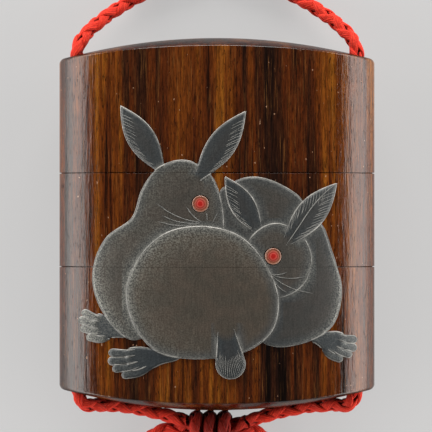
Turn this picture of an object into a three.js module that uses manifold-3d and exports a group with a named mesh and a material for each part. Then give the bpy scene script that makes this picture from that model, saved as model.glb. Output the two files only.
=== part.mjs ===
// A three-tier inro: a flattened oval seal case of polished wood, made of a lid and two stacked
// trays that push together, with a group of rabbits in low lacquer relief across its front and a
// red silk cord through channels in its narrow sides.
//
// Units are millimetres. The case lies on its back: +X across the front, +Y from the bottom tray
// to the lid, +Z out of the front. The origin is under the middle of the case, on the surface
// that it lies on.
import * as THREE from "three";
import { mergeVertices } from "three/addons/utils/BufferGeometryUtils.js";
import Module from "manifold-3d";

const wasm = await Module();
wasm.setup();

// ---- Driving dimensions of the case ----
const HALF_WIDTH = 33; // half the long axis of the oval section
const HALF_DEPTH = 11.5; // half its short axis
const HALF_HEIGHT = 38.9; // from the middle to the crown of either domed end
const END_DROP = 4.55; // how far a domed end falls from its crown to the narrow sides
const FACE_DROP = 1.95; // and from its crown to the front and the back
const REST_FLAT = 10; // width of the flat spot along the back
const ARRIS = 0.35; // width of the eased edge round each domed end
const SECTION_SIDES = 64;
const DOME_RINGS = [0.7, 0.36]; // shares of the section at which a domed end has a ring

const LID_SEAM = 10.65; // height of the seam under the lid
const TRAY_SEAM = -8.85; // height of the seam between the two trays
const SEAM_GAP = 0.2;

// ---- Hollows, rims and cord channels ----
const HOLLOW = { halfWidth: 24, halfDepth: 8.2 }; // inside a tray
const RIM_WALL = 1.2; // the raised rim that the tier above pushes over
const RIM_HEIGHT = 5;
const RIM_PLAY = 0.2; // between a rim and the socket that takes it
const SOCKET_DEPTH = 5.5;
const FLOOR = 1.8; // thickness of a tray's floor
const CROWN_WALL = 2.6; // wood left under the crown of a domed end
const HOLLOW_SIDES = 36;
const HOLLOW_POWER = 2.5; // how square the hollow's oval is; 2 is an ellipse
const CHANNEL_X = 29.4; // the two cord channels, in the narrow sides
const CHANNEL_RADIUS = 1.7;
const CHANNEL_SIDES = 14;
const MOUTH = { radius: 2.7, depth: 2.6 }; // the funnel at either end of a channel

// ---- Cord ----
const CORD_DIAMETER = 2.7;
const CORD_SIDES = 8;
const PAIR_X = 1.55; // half the distance between the strap's two strands where they run side by side

const flatHalf = REST_FLAT / 2;
const MIDDLE_Z = HALF_DEPTH * Math.sqrt(1 - (flatHalf / HALF_WIDTH) ** 2);
const FAR = 2 * HALF_HEIGHT; // clear of the case in every direction
const BOND = 0.04; // between the lacquer and the wood that it is laid on

const MATERIALS = {
  wood: new THREE.MeshStandardMaterial({ color: 0x5a2a14, roughness: 0.25, metalness: 0 }),
  lacquer: new THREE.MeshStandardMaterial({ color: 0x56585a, roughness: 0.4, metalness: 0.3 }),
  inlay: new THREE.MeshStandardMaterial({ color: 0xa8281c, roughness: 0.15, metalness: 0 }),
  silk: new THREE.MeshStandardMaterial({ color: 0xc42a20, roughness: 0.6, metalness: 0 }),
};

// ---- Solids ----

// A closed geometry as a solid that can be joined and cut.
function solid(geometry) {
  const bare = geometry.index ? geometry.toNonIndexed() : geometry;
  const positions = new THREE.BufferGeometry();
  positions.setAttribute("position", bare.getAttribute("position"));
  const merged = mergeVertices(positions, 1e-4);
  return new wasm.Manifold(new wasm.Mesh({
    numProp: 3,
    vertProperties: merged.attributes.position.array,
    triVerts: new Uint32Array(merged.index.array),
  }));
}

function geometryOf(manifold) {
  const { vertProperties, triVerts, numProp, numVert } = manifold.getMesh();
  const positions = new Float32Array(numVert * 3);
  for (let i = 0; i < numVert; i++) {
    positions.set(vertProperties.subarray(i * numProp, i * numProp + 3), i * 3);
  }
  const geometry = new THREE.BufferGeometry();
  geometry.setAttribute("position", new THREE.BufferAttribute(positions, 3));
  geometry.setIndex(new THREE.BufferAttribute(new Uint32Array(triVerts), 1));
  geometry.computeVertexNormals();
  return geometry;
}

function unite(solids) {
  return solids.reduce((all, next) => all.add(next));
}

// A solid skinned over rings of equally many points, and closed by a point at each end.
function skinned(startPoint, rings, endPoint) {
  const sides = rings[0].length;
  const points = [startPoint, ...rings.flat(), endPoint];
  const index = [];
  for (let i = 0; i < sides; i++) {
    const j = (i + 1) % sides;
    index.push(0, 1 + j, 1 + i);
    for (let k = 0; k + 1 < rings.length; k++) {
      const low = 1 + k * sides;
      const high = low + sides;
      index.push(low + i, low + j, high + j, low + i, high + j, high + i);
    }
    const last = 1 + (rings.length - 1) * sides;
    index.push(last + i, last + j, points.length - 1);
  }
  const geometry = new THREE.BufferGeometry().setFromPoints(points);
  geometry.setIndex(index);
  return solid(geometry);
}

// An outline in the XY plane, made solid from one height to another.
function prism(outline, fromZ, toZ) {
  const shape = new THREE.Shape(outline);
  const geometry = new THREE.ExtrudeGeometry(shape, { depth: toZ - fromZ, bevelEnabled: false });
  return solid(geometry.translate(0, 0, fromZ));
}

// An outline in the case's cross-section (x, and depth from the middle), run from one y to another.
function bar(outline, fromY, toY) {
  const shape = new THREE.Shape(outline);
  const geometry = new THREE.ExtrudeGeometry(shape, { depth: toY - fromY, bevelEnabled: false });
  return solid(geometry.rotateX(Math.PI / 2).translate(0, toY, MIDDLE_Z));
}

function slab(fromY, toY) {
  const box = new THREE.BoxGeometry(FAR, toY - fromY, FAR);
  return solid(box.translate(0, (fromY + toY) / 2, 0));
}

// ---- The case's outer form ----

// The height of a domed end over a point of the section, measured from the middle of the case.
function crownOver(x, depth) {
  return HALF_HEIGHT - END_DROP * (x / HALF_WIDTH) ** 2 - FACE_DROP * (depth / HALF_DEPTH) ** 2;
}

// One ring of the case: the oval section, shrunk by a share or by a margin, at either end's dome.
function sectionRing(share, margin, heightOf) {
  const ring = [];
  for (let i = 0; i < SECTION_SIDES; i++) {
    const angle = ((i + 0.5) / SECTION_SIDES) * 2 * Math.PI;
    const x = share * (HALF_WIDTH + margin) * Math.cos(angle);
    const depth = share * (HALF_DEPTH + margin) * Math.sin(angle);
    // the flat spot that it lies on
    const z = Math.max(MIDDLE_Z + depth, 0);
    ring.push(new THREE.Vector3(x, heightOf(x, z - MIDDLE_Z), z));
  }
  return ring;
}

// The whole case without its hollows, grown outwards by a margin.
function caseForm(margin) {
  const crown = (x, depth) => crownOver(x, depth);
  const arris = (x, depth) => crownOver(x, depth) - ARRIS;
  const inner = [...DOME_RINGS].reverse();
  const down = (heightOf) => (x, depth) => -heightOf(x, depth);
  const rings = [
    ...inner.map((share) => sectionRing(share, margin, down(crown))),
    sectionRing(1, margin - ARRIS, down(crown)),
    sectionRing(1, margin, down(arris)),
    sectionRing(1, margin, arris),
    sectionRing(1, margin - ARRIS, crown),
    ...DOME_RINGS.map((share) => sectionRing(share, margin, crown)),
  ];
  const tip = (sign) => new THREE.Vector3(0, sign * HALF_HEIGHT, MIDDLE_Z);
  return skinned(tip(-1), rings.map((ring) => ring.reverse()), tip(1));
}

function oval(halfWidth, halfDepth) {
  const outline = [];
  for (let i = 0; i < HOLLOW_SIDES; i++) {
    const angle = (i / HOLLOW_SIDES) * 2 * Math.PI;
    const c = Math.cos(angle);
    const s = Math.sin(angle);
    outline.push(new THREE.Vector2(
      halfWidth * Math.sign(c) * Math.abs(c) ** (2 / HOLLOW_POWER),
      halfDepth * Math.sign(s) * Math.abs(s) ** (2 / HOLLOW_POWER),
    ));
  }
  return outline;
}

function ovalBar(grow, fromY, toY) {
  return bar(oval(HOLLOW.halfWidth + grow, HOLLOW.halfDepth + grow), fromY, toY);
}

// ---- The rabbits ----

// A closed smooth line through a few points.
function loopThrough(points, divisions) {
  const vectors = points.map(([x, y]) => new THREE.Vector3(x, y, 0));
  const curve = new THREE.CatmullRomCurve3(vectors, true, "centripetal");
  return curve.getPoints(divisions).slice(0, -1).map((p) => new THREE.Vector2(p.x, p.y));
}

// An ear: a pointed leaf from its root to its tip, fullest part of the way along.
function ear({ root, tip, width, fullest = 0.55 }) {
  const start = new THREE.Vector2(...root);
  const along = new THREE.Vector2(...tip).sub(start);
  const across = new THREE.Vector2(-along.y, along.x).normalize();
  const power = Math.log(0.5) / Math.log(fullest);
  const steps = 9;
  const side = (sign) => Array.from({ length: steps }, (_, k) => {
    const t = k / steps;
    const swell = Math.sin(Math.PI * (0.05 + 0.95 * t) ** power);
    return start.clone().addScaledVector(along, t).addScaledVector(across, sign * swell * width / 2);
  });
  return [...side(-1), new THREE.Vector2(...tip), ...side(1).reverse()];
}

// A hind foot: a narrow heel that widens to a row of round toes. The toe that leads is off the
// middle by a share of the width, and the others fall back from it.
function foot({ heel, toe, width, lead, toes = 4 }) {
  const start = new THREE.Vector2(...heel);
  const along = new THREE.Vector2(...toe).sub(start);
  const length = along.length();
  along.normalize();
  const across = new THREE.Vector2(-along.y, along.x);
  const at = (u, v) => start.clone().addScaledVector(along, u).addScaledVector(across, v * width);
  const toeRadius = width / 2 / toes;
  const tipOf = (v) => length - toeRadius - 1.3 * width * (v - lead) ** 2;
  const outline = [at(0, -0.14), at(0.3 * length, -0.26), at(0.55 * length, -0.46)];
  for (let k = 0; k < toes; k++) {
    const v = (k + 0.5) / toes - 0.5;
    for (const turn of [-70, -22, 22, 70]) {
      const angle = THREE.MathUtils.degToRad(turn);
      const reach = tipOf(v) + toeRadius * Math.cos(angle);
      outline.push(at(reach, v + (toeRadius / width) * Math.sin(angle)));
    }
  }
  outline.push(at(0.55 * length, 0.46), at(0.3 * length, 0.26), at(0, 0.14));
  return outline;
}

// A tail: a drop that widens from a narrow root to a round end.
function tail({ root, end, rootWidth, radius }) {
  const start = new THREE.Vector2(...root);
  const centre = new THREE.Vector2(...end);
  const heading = centre.clone().sub(start).angle();
  const across = new THREE.Vector2(-Math.sin(heading), Math.cos(heading)).multiplyScalar(rootWidth / 2);
  const outline = [start.clone().add(across), start.clone().sub(across)];
  for (let turn = -100; turn <= 100; turn += 25) {
    const angle = heading + THREE.MathUtils.degToRad(turn);
    outline.push(new THREE.Vector2(Math.cos(angle), Math.sin(angle)).multiplyScalar(radius).add(centre));
  }
  return outline;
}

const BACK_RABBIT_BODY = [
  [-7.0, 13.3], [-12.6, 11.4], [-15.6, 7.0], [-17.6, 1.4], [-23.0, -2.8], [-25.9, -10.0],
  [-23.8, -18.0], [-17.0, -24.0], [-4.0, -14.0], [1.0, -4.0], [0.9, 4.8], [-1.8, 11.0],
];
const RIGHT_RABBIT_BODY = [
  [14.2, 1.6], [20.6, 1.4], [24.0, -6.0], [25.9, -13.6], [23.8, -21.2], [17.0, -24.8],
  [9.6, -24.6], [2.0, -14.0], [6.0, -3.0],
];
const RIGHT_RABBIT_HEAD = [
  [11.4, 0.2], [17.0, -1.6], [19.6, -7.2], [17.4, -13.0], [11.8, -15.2], [6.2, -10.0], [6.6, -3.2],
];
const RIGHT_RABBIT_BACK = [
  [0.4, 6.4], [3.2, 8.8], [8.0, 9.8], [13.6, 8.0], [18.2, 4.2], [18.4, -6.0], [1.2, -6.0],
];
const FRONT_RABBIT_BODY = [
  [-2.4, -0.4], [5.0, -2.6], [10.4, -8.8], [12.7, -15.6], [11.4, -22.0], [5.4, -26.6], [-4.5, -27.8],
  [-12.6, -26.2], [-17.2, -20.8], [-18.7, -13.4], [-15.8, -6.4], [-10.2, -1.6],
];

// Each figure is an outline on the front and the height of its lacquer over the wood. Where two
// cross, the higher one is in front.
const FIGURES = [
  { height: 0.30, outline: loopThrough(RIGHT_RABBIT_BACK, 32) },
  { height: 0.36, outline: ear({ root: [-10.6, 9.8], tip: [-20.0, 24.6], width: 5.8 }) },
  { height: 0.36, outline: foot({ heel: [-17.6, -22.4], toe: [-28.8, -20.6], width: 6.2, lead: -0.15 }) },
  { height: 0.36, outline: foot({ heel: [18.6, -22.4], toe: [28.6, -26.6], width: 6.2, lead: 0.1 }) },
  { height: 0.42, outline: loopThrough(BACK_RABBIT_BODY, 44) },
  { height: 0.48, outline: ear({ root: [-4.8, 8.2], tip: [6.0, 23.4], width: 5.8 }) },
  { height: 0.42, outline: loopThrough(RIGHT_RABBIT_BODY, 36) },
  { height: 0.50, outline: ear({ root: [9.4, -2.8], tip: [1.6, 9.9], width: 5.2 }) },
  { height: 0.56, outline: loopThrough(RIGHT_RABBIT_HEAD, 28) },
  { height: 0.62, outline: ear({ root: [13.2, -5.0], tip: [24.9, 8.6], width: 6.0 }) },
  { height: 0.50, outline: foot({ heel: [-7.6, -26.6], toe: [-22.3, -29.2], width: 6.4, lead: -0.15 }) },
  { height: 0.72, outline: loopThrough(FRONT_RABBIT_BODY, 44) },
  { height: 0.90, outline: tail({ root: [1.8, -21.4], end: [2.8, -28.8], rootWidth: 3.4, radius: 3.1 }) },
];

// The lacquer of all the figures: each outline, run through the front and stopped at its height.
function rabbits() {
  return unite(FIGURES.map(({ height, outline }) => {
    if (THREE.ShapeUtils.isClockWise(outline)) outline.reverse();
    return prism(outline, MIDDLE_Z, FAR).intersect(caseForm(height));
  })).subtract(caseForm(BOND));
}

// ---- The eyes: red inlaid cabochons, each in a round seat that faces out of the front ----
const EYE = { radius: 1.7, sunk: 0.7, proud: 0.35, play: 0.1, sides: 14 };
const EYE_PLACES = {
  back_rabbit_eye: { x: -3.4, y: 4.2, height: 0.42 },
  right_rabbit_eye: { x: 11.5, y: -6.6, height: 0.56 },
};

// Stands a shape made round +Y on the front, so that +Y points out of the surface there.
function standOnFront(geometry, { x, y, height }) {
  const depth = HALF_DEPTH * Math.sqrt(1 - (x / HALF_WIDTH) ** 2);
  const lean = Math.atan2(x / HALF_WIDTH ** 2, depth / HALF_DEPTH ** 2);
  geometry.rotateX(Math.PI / 2).rotateY(lean);
  return geometry.translate(
    x + height * Math.sin(lean), y, MIDDLE_Z + depth + height * Math.cos(lean),
  );
}

function eyeGeometry(place) {
  const profile = [new THREE.Vector2(0, -EYE.sunk), new THREE.Vector2(EYE.radius, -EYE.sunk)];
  const steps = 4;
  for (let k = 0; k <= steps; k++) {
    const angle = (k / steps) * (Math.PI / 2);
    const radius = k < steps ? EYE.radius * Math.cos(angle) : 0;
    profile.push(new THREE.Vector2(radius, EYE.proud * Math.sin(angle)));
  }
  return standOnFront(new THREE.LatheGeometry(profile, EYE.sides), place);
}

function eyeSeat(place) {
  const radius = EYE.radius + EYE.play;
  const depth = EYE.sunk + EYE.play;
  const seat = new THREE.CylinderGeometry(radius, radius, depth + 2, EYE.sides);
  return solid(standOnFront(seat.translate(0, 1 - depth / 2, 0), place));
}

// ---- The three tiers ----
const socketTop = (seam) => seam + SOCKET_DEPTH;
const rimTop = (seam) => seam + RIM_HEIGHT;
const seamFaces = (seam) => ({ under: seam - SEAM_GAP / 2, over: seam + SEAM_GAP / 2 });

// A channel is a straight bore through all three tiers, with a funnel where the cord bends away.
function channel(x) {
  const mouthY = crownOver(x, 0);
  const profile = [
    [0, -FAR], [MOUTH.radius, -FAR], [MOUTH.radius, -mouthY],
    [CHANNEL_RADIUS, MOUTH.depth - mouthY], [CHANNEL_RADIUS, mouthY - MOUTH.depth],
    [MOUTH.radius, mouthY], [MOUTH.radius, FAR], [0, FAR],
  ].map(([radius, y]) => new THREE.Vector2(radius, y));
  const bore = new THREE.LatheGeometry(profile, CHANNEL_SIDES);
  return solid(bore.translate(x, 0, MIDDLE_Z));
}

// The wall of the rim that stands up from a tray and holds the tier above.
function rim(seam) {
  const { under } = seamFaces(seam);
  return ovalBar(RIM_WALL, under - FLOOR, rimTop(seam)).subtract(ovalBar(0, -FAR, FAR));
}

function withEyeSeats(manifold) {
  return Object.values(EYE_PLACES).reduce((cut, eye) => cut.subtract(eyeSeat(eye)), manifold);
}

function tiers() {
  const blank = withEyeSeats(caseForm(0))
    .subtract(channel(-CHANNEL_X))
    .subtract(channel(CHANNEL_X));
  const crown = HALF_HEIGHT - CROWN_WALL - FACE_DROP;
  const lidFaces = seamFaces(LID_SEAM);
  const trayFaces = seamFaces(TRAY_SEAM);
  const socket = (seam) => ovalBar(RIM_WALL + RIM_PLAY, -FAR, socketTop(seam));
  return {
    lid: blank.intersect(slab(lidFaces.over, FAR))
      .subtract(socket(LID_SEAM))
      .subtract(ovalBar(0, -FAR, crown)),
    middle_tray: blank.intersect(slab(trayFaces.over, lidFaces.under))
      .subtract(socket(TRAY_SEAM))
      .subtract(ovalBar(0, socketTop(TRAY_SEAM) + FLOOR, FAR))
      .add(rim(LID_SEAM)),
    bottom_tray: blank.intersect(slab(-FAR, trayFaces.under))
      .subtract(ovalBar(0, -crown, FAR))
      .add(rim(TRAY_SEAM)),
  };
}

// The lacquer is parted at the seams, so each tier carries its own share.
function reliefs() {
  const whole = withEyeSeats(rabbits());
  const lidFaces = seamFaces(LID_SEAM);
  const trayFaces = seamFaces(TRAY_SEAM);
  return {
    lid_relief: whole.intersect(slab(lidFaces.over, FAR)),
    middle_tray_relief: whole.intersect(slab(trayFaces.over, lidFaces.under)),
    bottom_tray_relief: whole.intersect(slab(-FAR, trayFaces.under)),
  };
}

// ---- The cord ----
function tube(curve, steps) {
  const radius = CORD_DIAMETER / 2;
  const section = new THREE.Shape(Array.from({ length: CORD_SIDES }, (_, i) => {
    const angle = ((i + 0.5) / CORD_SIDES) * 2 * Math.PI;
    return new THREE.Vector2(radius * Math.cos(angle), radius * Math.sin(angle));
  }));
  return new THREE.ExtrudeGeometry(section, { steps, extrudePath: curve, bevelEnabled: false });
}

function smooth(points, closed = false) {
  return new THREE.CatmullRomCurve3(points.map((p) => new THREE.Vector3(...p)), closed);
}

const mirrored = (points) => points.map(([x, y, z]) => [-x, y, z]).reverse();

// The strap, from the bow up the left channel, round the loop past the lid and down the right.
// The left half is given, and the right half mirrors it.
const STRAP_LEFT = [
  [-6.4, -41.6, 5.2], [-10.5, -40.4, 4.7], [-15.5, -39.15, 4.8], [-20.3, -38.3, 5.8],
  [-24.7, -38.0, 8.2], [-27.9, -37.5, 10.9], [-CHANNEL_X, -33.6, MIDDLE_Z],
  [-CHANNEL_X, -24, MIDDLE_Z], [-CHANNEL_X, -12, MIDDLE_Z], [-CHANNEL_X, 0, MIDDLE_Z],
  [-CHANNEL_X, 12, MIDDLE_Z], [-CHANNEL_X, 24, MIDDLE_Z], [-CHANNEL_X, 34.2, MIDDLE_Z],
  [-28.9, 37.6, 10.6], [-27.3, 40.1, 8.8], [-24.6, 42.8, 6.2], [-21.2, 45.4, 3.8],
  [-17.2, 47.9, 2.2], [-12.6, 50.0, 1.7], [-7.4, 51.6, 1.7], [-3.2, 53.8, 2.2],
  [-PAIR_X, 57.4, 2.5], [-PAIR_X, 61.6, 2.5], [-PAIR_X, 69.0, 1.5], [-PAIR_X, 79.0, 1.4],
  [-1.9, 87.0, 1.4], [-4.2, 93.6, 1.4], [-5.9, 99.0, 1.4], [-4.1, 103.8, 1.4],
];
const STRAP = [...STRAP_LEFT, [0, 105.4, 1.4], ...mirrored(STRAP_LEFT)];
const STRAP_STEPS = 74;

// The thread whipped round both strands where they meet past the lid.
const TIE = { y: 59.2, length: 4.2, wall: 0.8, play: 0.35 };

function tieGeometry() {
  const radius = CORD_DIAMETER / 2;
  const halfWidth = PAIR_X + radius + TIE.play;
  const halfHeight = radius + TIE.play;
  const stadium = (grow) => {
    const r = halfHeight + grow;
    const straight = halfWidth - halfHeight;
    const outline = new THREE.Path();
    outline.absarc(straight, 0, r, -Math.PI / 2, Math.PI / 2);
    outline.absarc(-straight, 0, r, Math.PI / 2, 1.5 * Math.PI);
    return outline.getPoints(7);
  };
  const shape = new THREE.Shape(stadium(TIE.wall));
  shape.holes.push(new THREE.Path(stadium(0)));
  const geometry = new THREE.ExtrudeGeometry(shape, { depth: TIE.length, bevelEnabled: false });
  geometry.rotateX(Math.PI / 2);
  return geometry.translate(0, TIE.y + TIE.length / 2, halfHeight + TIE.wall);
}

// The bow under the bottom tray: two loops and two ends, held by turns of the same cord.
const BOW_LEFT_LOOP = [
  [-1.8, -42.6, 4.6], [-6.4, -43.0, 3.0], [-10.8, -43.5, 1.8], [-14.6, -45.8, 1.4],
  [-16.0, -50.2, 1.4], [-13.6, -54.2, 1.4], [-9.4, -53.4, 1.4], [-7.6, -49.4, 1.5],
  [-5.8, -45.8, 2.6], [-3.6, -42.4, 4.4],
];
const BOW_RIGHT_LOOP = [
  [1.6, -42.6, 4.6], [5.2, -43.2, 3.0], [8.8, -44.4, 1.8], [11.6, -47.4, 1.4],
  [12.0, -52.0, 1.4], [8.8, -55.2, 1.4], [5.0, -53.4, 1.4], [4.2, -49.4, 1.5],
  [3.4, -45.8, 2.6], [2.6, -42.4, 4.4],
];
const BOW_LEFT_END = [
  [-1.2, -42.4, 4.5], [-3.0, -46.0, 2.4], [-4.4, -51.0, 1.4], [-5.2, -56.0, 1.5], [-6.2, -61.0, 1.65],
];
const BOW_RIGHT_END = [
  [0.0, -42.4, 4.5], [0.5, -46.4, 2.4], [-0.2, -51.6, 1.4], [0.6, -57.0, 1.5], [1.8, -62.4, 1.65],
];
const BOW_ENTRIES = [[-6.0, -41.7, 5.1], [-2.4, -42.7, 4.4], [2.4, -42.7, 4.4], [6.0, -41.7, 5.1]];
const BOW_TURNS = { xs: [-4.2, -1.4, 1.65], y: -43.2, z: 3.95, radius: 2.5 };
const WHIPPING = { radius: 1.6, length: 3.2 }; // thread wound round each end, so that it can't fray

// The whipped last stretch of an end, a little thicker than the cord.
function whippedEnd(route) {
  const [from, to] = route.slice(-2).map((p) => new THREE.Vector3(...p));
  const heading = to.clone().sub(from).normalize();
  const wound = new THREE.CylinderGeometry(WHIPPING.radius, WHIPPING.radius, WHIPPING.length, 10);
  wound.applyQuaternion(new THREE.Quaternion().setFromUnitVectors(new THREE.Vector3(0, 1, 0), heading));
  const middle = to.addScaledVector(heading, -WHIPPING.length / 3);
  return solid(wound.translate(middle.x, middle.y, middle.z));
}

function bow() {
  const turns = BOW_TURNS.xs.map((x) => {
    const ring = new THREE.TorusGeometry(BOW_TURNS.radius, CORD_DIAMETER / 2, CORD_SIDES, 12);
    return solid(ring.rotateY(Math.PI / 2).translate(x, BOW_TURNS.y, BOW_TURNS.z));
  });
  return unite([
    solid(tube(smooth(BOW_ENTRIES), 4)),
    solid(tube(smooth(BOW_LEFT_LOOP), 13)),
    solid(tube(smooth(BOW_RIGHT_LOOP), 13)),
    solid(tube(smooth(BOW_LEFT_END), 5)),
    solid(tube(smooth(BOW_RIGHT_END), 5)),
    whippedEnd(BOW_LEFT_END),
    whippedEnd(BOW_RIGHT_END),
    ...turns,
  ]);
}

// ---- The object ----
const inro = new THREE.Group();

function place(name, geometry, material) {
  const mesh = new THREE.Mesh(geometry, material);
  mesh.name = name;
  inro.add(mesh);
}

for (const [name, tier] of Object.entries(tiers())) {
  place(name, geometryOf(tier), MATERIALS.wood);
}
for (const [name, relief] of Object.entries(reliefs())) {
  place(name, geometryOf(relief), MATERIALS.lacquer);
}
for (const [name, eye] of Object.entries(EYE_PLACES)) {
  place(name, eyeGeometry(eye), MATERIALS.inlay);
}
place("cord_strap", tube(smooth(STRAP), STRAP_STEPS), MATERIALS.silk);
place("cord_tie", tieGeometry(), MATERIALS.silk);
place("cord_bow", geometryOf(bow()), MATERIALS.silk);

export default inro;
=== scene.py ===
"""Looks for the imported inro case: polished rosewood, raised lacquer rabbits, inlaid eyes and
braided silk. Lengths are in millimetres up to the point where a mesh is made."""
import math

import bpy
import numpy as np
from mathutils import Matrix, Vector


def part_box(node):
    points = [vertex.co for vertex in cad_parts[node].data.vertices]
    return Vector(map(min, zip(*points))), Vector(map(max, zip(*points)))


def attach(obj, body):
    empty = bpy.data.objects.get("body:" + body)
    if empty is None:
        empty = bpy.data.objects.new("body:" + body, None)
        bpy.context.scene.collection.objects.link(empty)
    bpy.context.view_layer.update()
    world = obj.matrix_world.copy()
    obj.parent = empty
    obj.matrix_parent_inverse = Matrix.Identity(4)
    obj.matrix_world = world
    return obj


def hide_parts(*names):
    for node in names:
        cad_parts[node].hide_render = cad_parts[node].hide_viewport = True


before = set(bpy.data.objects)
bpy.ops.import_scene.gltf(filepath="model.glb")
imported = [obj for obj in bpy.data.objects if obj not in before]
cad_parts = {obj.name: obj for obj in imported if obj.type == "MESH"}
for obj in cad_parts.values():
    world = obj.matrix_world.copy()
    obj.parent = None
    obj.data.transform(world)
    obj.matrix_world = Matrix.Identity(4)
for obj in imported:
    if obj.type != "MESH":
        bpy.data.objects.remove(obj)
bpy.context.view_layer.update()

rng = np.random.default_rng(7)
MM = 0.001


def box_mm(node):
    low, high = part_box(node)
    return np.array(low) / MM, np.array(high) / MM


# ---- The case, as the frame gives it ----
lid_low, lid_high = box_mm("lid")
middle_low, middle_high = box_mm("middle_tray")
bottom_low, bottom_high = box_mm("bottom_tray")

HALF_WIDTH = lid_high[0]
HALF_HEIGHT = lid_high[1]
HALF_DEPTH = 11.5
MIDDLE_Z = lid_high[2] - HALF_DEPTH
SEAM_GAP = 0.2
RIM_HEIGHT = 5.0
LID_SEAM = lid_low[1] - SEAM_GAP / 2
TRAY_SEAM = middle_low[1] - SEAM_GAP / 2

END_DROP = 4.55  # how far a domed end falls from its crown to the narrow sides
FACE_DROP = 1.95  # and to the front and the back
ARRIS = 0.3  # radius of the eased edge round each domed end, at the front and the back
SIDE_ARRIS = 0.9  # and at the narrow sides
SEAM_ARRIS = 0.04
SEAM_GROOVE = 0.35  # how far in from the outside the seam's gap reaches
HOLLOW = (24.0, 8.2)
HOLLOW_POWER = 2.5
RIM_WALL = 1.2
RIM_PLAY = 0.2
SOCKET_DEPTH = 5.5
FLOOR = 1.8
CROWN_WALL = 2.6
CHANNEL_X = 29.4
CHANNEL_RADIUS = 1.7
MOUTH_RADIUS = 2.7
MOUTH_DEPTH = 2.6
CORD_DIAMETER = 2.7
PAIR_X = 1.55

SECTION_SIDES = 256
BORE_SIDES = 48
CREASE = 30  # degrees: edges of the wood sharper than this stay sharp
CLEAR_OF_FLOOR = 0.02
TOUCH = 0.005  # a gap too small to see


# ---- Meshes ----
def new_object(name, data):
    thing = bpy.data.objects.new(name, data)
    bpy.context.scene.collection.objects.link(thing)
    return thing


def new_mesh(name, points, faces, smooth_below=CREASE):
    """A piece from points in millimetres. Edges sharper than smooth_below degrees stay sharp."""
    mesh = bpy.data.meshes.new(name)
    mesh.from_pydata((np.asarray(points) * MM).tolist(), [], faces)
    mesh.polygons.foreach_set("use_smooth", np.ones(len(mesh.polygons), dtype=bool))
    mesh.set_sharp_from_angle(angle=math.radians(smooth_below))
    mesh.update()
    return new_object(name, mesh)


def set_attributes(piece, **attributes):
    for name, values in attributes.items():
        attribute = piece.data.attributes.new(name, "FLOAT", "POINT")
        attribute.data.foreach_set("value", np.asarray(values, dtype=np.float32))


def skinned(rings, start_tip, end_tip):
    """Points and faces of a solid skinned over rings of equally many points."""
    sides = len(rings[0])
    points = np.vstack([start_tip[None], *rings, end_tip[None]])
    faces = []
    for i in range(sides):
        j = (i + 1) % sides
        faces.append((0, 1 + j, 1 + i))
        for k in range(len(rings) - 1):
            low, high = 1 + k * sides, 1 + (k + 1) * sides
            faces.append((low + i, low + j, high + j, high + i))
        last = 1 + (len(rings) - 1) * sides
        faces.append((last + i, last + j, len(points) - 1))
    return points, faces


def level_ring(radius, height, sides):
    turn = np.arange(sides) / sides * 2 * math.pi
    return np.column_stack([radius * np.cos(turn), radius * np.sin(turn), np.full(sides, height)])


def cut(piece, *tools):
    """Takes the tools out of the piece, and removes them."""
    bpy.context.view_layer.objects.active = piece
    for tool in tools:
        modifier = piece.modifiers.new("cut", "BOOLEAN")
        modifier.operation = "DIFFERENCE"
        modifier.solver = "EXACT"
        modifier.object = tool
        bpy.ops.object.modifier_apply(modifier=modifier.name)
        bpy.data.objects.remove(tool)
    piece.data.set_sharp_from_angle(angle=math.radians(CREASE))


def finish(piece, node, material):
    """The piece stands for the CAD node, and takes that slot's finish."""
    piece.data.materials.clear()
    piece.data.materials.append(material)
    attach(piece, "root")
    if node:
        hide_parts(node)
    return piece


# ---- Curves ----
def smooth_line(points, closed=False, spacing=0.3):
    """A centripetal Catmull-Rom line through the points, sampled at even steps."""
    knots = np.asarray(points, dtype=float)
    if closed:
        knots = np.vstack([knots[-1], knots, knots[0], knots[1]])
    else:
        knots = np.vstack([2 * knots[0] - knots[1], knots, 2 * knots[-1] - knots[-2]])
    dense = []
    for a, b, c, d in zip(knots, knots[1:], knots[2:], knots[3:]):
        t = np.cumsum([0.0] + [np.sqrt(np.linalg.norm(q - p)) for p, q in ((a, b), (b, c), (c, d))])
        u = np.linspace(t[1], t[2], 24, endpoint=False)[:, None]
        ab = ((t[1] - u) * a + (u - t[0]) * b) / (t[1] - t[0])
        bc = ((t[2] - u) * b + (u - t[1]) * c) / (t[2] - t[1])
        cd = ((t[3] - u) * c + (u - t[2]) * d) / (t[3] - t[2])
        abc = ((t[2] - u) * ab + (u - t[0]) * bc) / (t[2] - t[0])
        bcd = ((t[3] - u) * bc + (u - t[1]) * cd) / (t[3] - t[1])
        dense.append(((t[2] - u) * abc + (u - t[1]) * bcd) / (t[2] - t[1]))
    dense = np.vstack([*dense, knots[-2][None]])
    return even_steps(dense, spacing)[: -1 if closed else None]


def even_steps(points, spacing):
    """The same line at even steps of about the spacing."""
    along = np.concatenate([[0], np.cumsum(np.linalg.norm(np.diff(points, axis=0), axis=1))])
    count = max(2, round(along[-1] / spacing) + 1)
    at = np.linspace(0, along[-1], count)
    return np.column_stack([np.interp(at, along, axis) for axis in points.T])


def line_length(points):
    return float(np.linalg.norm(np.diff(points, axis=0), axis=1).sum())


def frames_along(line):
    """Tangent and two cross directions at each point of a line, carried along without twist."""
    tangents = np.gradient(line, axis=0)
    tangents /= np.linalg.norm(tangents, axis=1)[:, None]
    side = np.cross(tangents[0], [0.0, 0.0, 1.0])
    if np.linalg.norm(side) < 0.1:
        side = np.cross(tangents[0], [1.0, 0.0, 0.0])
    sides = []
    for tangent in tangents:
        side = side - tangent * side.dot(tangent)
        side = side / np.linalg.norm(side)
        sides.append(side)
    sides = np.array(sides)
    return tangents, sides, np.cross(tangents, sides)


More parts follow.
